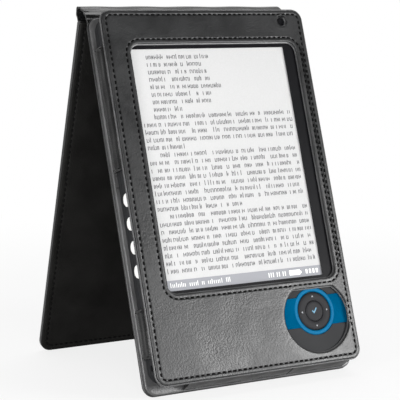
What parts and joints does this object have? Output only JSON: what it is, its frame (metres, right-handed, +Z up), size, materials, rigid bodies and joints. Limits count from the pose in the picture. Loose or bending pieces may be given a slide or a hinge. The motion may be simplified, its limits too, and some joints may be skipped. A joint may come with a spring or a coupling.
{
  "type": "e-reader",
  "caption": "E-paper reader in a black leather holder that stands at a lean, its hinged cover folded back as the rear leg, with navigation pad and side keys.",
  "frame": {"origin": "middle of the base under the whole standing object, on the surface it stands on", "axes": "+Z up; the screen faces -Y and leans back towards +Y; +X is to the right as seen from the front"},
  "size_m": [0.1292, 0.1286, 0.1877],
  "materials": {
    "leather": "black smooth leather, semi-gloss, fine grain",
    "leather_edge": "rolled leather edge, satin",
    "lining": "thin matte lining leather",
    "stiff_board": "pressed fibre board, covered",
    "shell_plastic": "dark grey fine matte",
    "gloss_black": "gloss black",
    "accent_blue": "satin blue",
    "key_white": "gloss white",
    "display_paper": "matte reflective e-paper film",
    "display_glass": "thin backplane glass",
    "steel": "plated steel",
    "circuit": "green solder mask",
    "amber_film": "polyimide film",
    "silver_foil": "foil and pressed sheet"
  },
  "bodies": {
    "holder": {"front_fascia": "leather", "left_upper_strap": "leather", "left_lower_strap": "leather", "right_wall": "leather", "top_wall": "leather", "bottom_wall_left": "leather", "bottom_wall_right": "leather", "back_leather": "leather", "fascia_lining": "leather_edge", "back_lining": "lining", "back_board": "stiff_board", "front_bezel": "shell_plastic", "rear_shell": "shell_plastic", "screen_surround": "gloss_black", "memory_chip": "gloss_black", "headphone_jack": "gloss_black", "status_lens": "gloss_black", "accent_band": "accent_blue", "display_film": "display_paper", "display_backplane": "display_glass", "processor_shield": "steel", "usb_socket": "steel", "card_socket": "steel", "shell_screw_1": "steel", "shell_screw_2": "steel", "shell_screw_3": "steel", "shell_screw_4": "steel", "shell_screw_5": "steel", "shell_screw_6": "steel", "board_screw_1": "steel", "board_screw_2": "steel", "keypad_board": "circuit", "side_switch_strip": "circuit", "main_board": "circuit", "display_ribbon": "amber_film", "dpad_dome_sheet": "amber_film", "battery_flex": "amber_film", "mid_frame": "silver_foil", "battery": "silver_foil"},
    "spine_inner": {"spine_inner": "leather"},
    "spine_outer": {"spine_outer": "leather"},
    "cover": {"cover_leather": "leather", "cover_board": "stiff_board", "cover_lining": "lining"},
    "dpad_ring": {"dpad_ring": "shell_plastic"},
    "dpad_centre_key": {"dpad_centre_key": "shell_plastic"},
    "side_key_1": {"side_key_1": "key_white"},
    "side_key_2": {"side_key_2": "key_white"},
    "side_key_3": {"side_key_3": "key_white"},
    "side_key_4": {"side_key_4": "key_white"}
  },
  "joints": [
    {"name": "cover_hinge", "type": "hinge", "parent": "spine_outer", "child": "cover", "pos_m": [0.00126, 0.01715, 0.18037], "axis": [1, 0, 0], "range_deg": [-8.5, 85.2]},
    {"name": "spine_fold", "type": "hinge", "parent": "spine_inner", "child": "spine_outer", "pos_m": [0.00126, 0.01434, 0.18839], "axis": [1, 0, 0], "range_deg": [-14.2, 141.4]},
    {"name": "spine_base", "type": "hinge", "parent": "holder", "child": "spine_inner", "pos_m": [0.00126, 0.00895, 0.18182], "axis": [1, 0, 0], "range_deg": [-10.1, 100.75]},
    {"name": "dpad_ring_press", "type": "slide", "parent": "holder", "child": "dpad_ring", "axis": [0, 0.9474, -0.32], "range_m": [0, 0.0004], "stiffness_N_per_m": 2000},
    {"name": "dpad_centre_press", "type": "slide", "parent": "holder", "child": "dpad_centre_key", "axis": [0, 0.9474, -0.32], "range_m": [0, 0.0004], "stiffness_N_per_m": 2000},
    {"name": "side_key_1_press", "type": "slide", "parent": "holder", "child": "side_key_1", "axis": [1, 0, 0], "range_m": [0, 0.0005], "stiffness_N_per_m": 2000},
    {"name": "side_key_2_press", "type": "slide", "parent": "holder", "child": "side_key_2", "axis": [1, 0, 0], "range_m": [0, 0.0005], "stiffness_N_per_m": 2000},
    {"name": "side_key_3_press", "type": "slide", "parent": "holder", "child": "side_key_3", "axis": [1, 0, 0], "range_m": [0, 0.0005], "stiffness_N_per_m": 2000},
    {"name": "side_key_4_press", "type": "slide", "parent": "holder", "child": "side_key_4", "axis": [1, 0, 0], "range_m": [0, 0.0005], "stiffness_N_per_m": 2000}
  ]
}
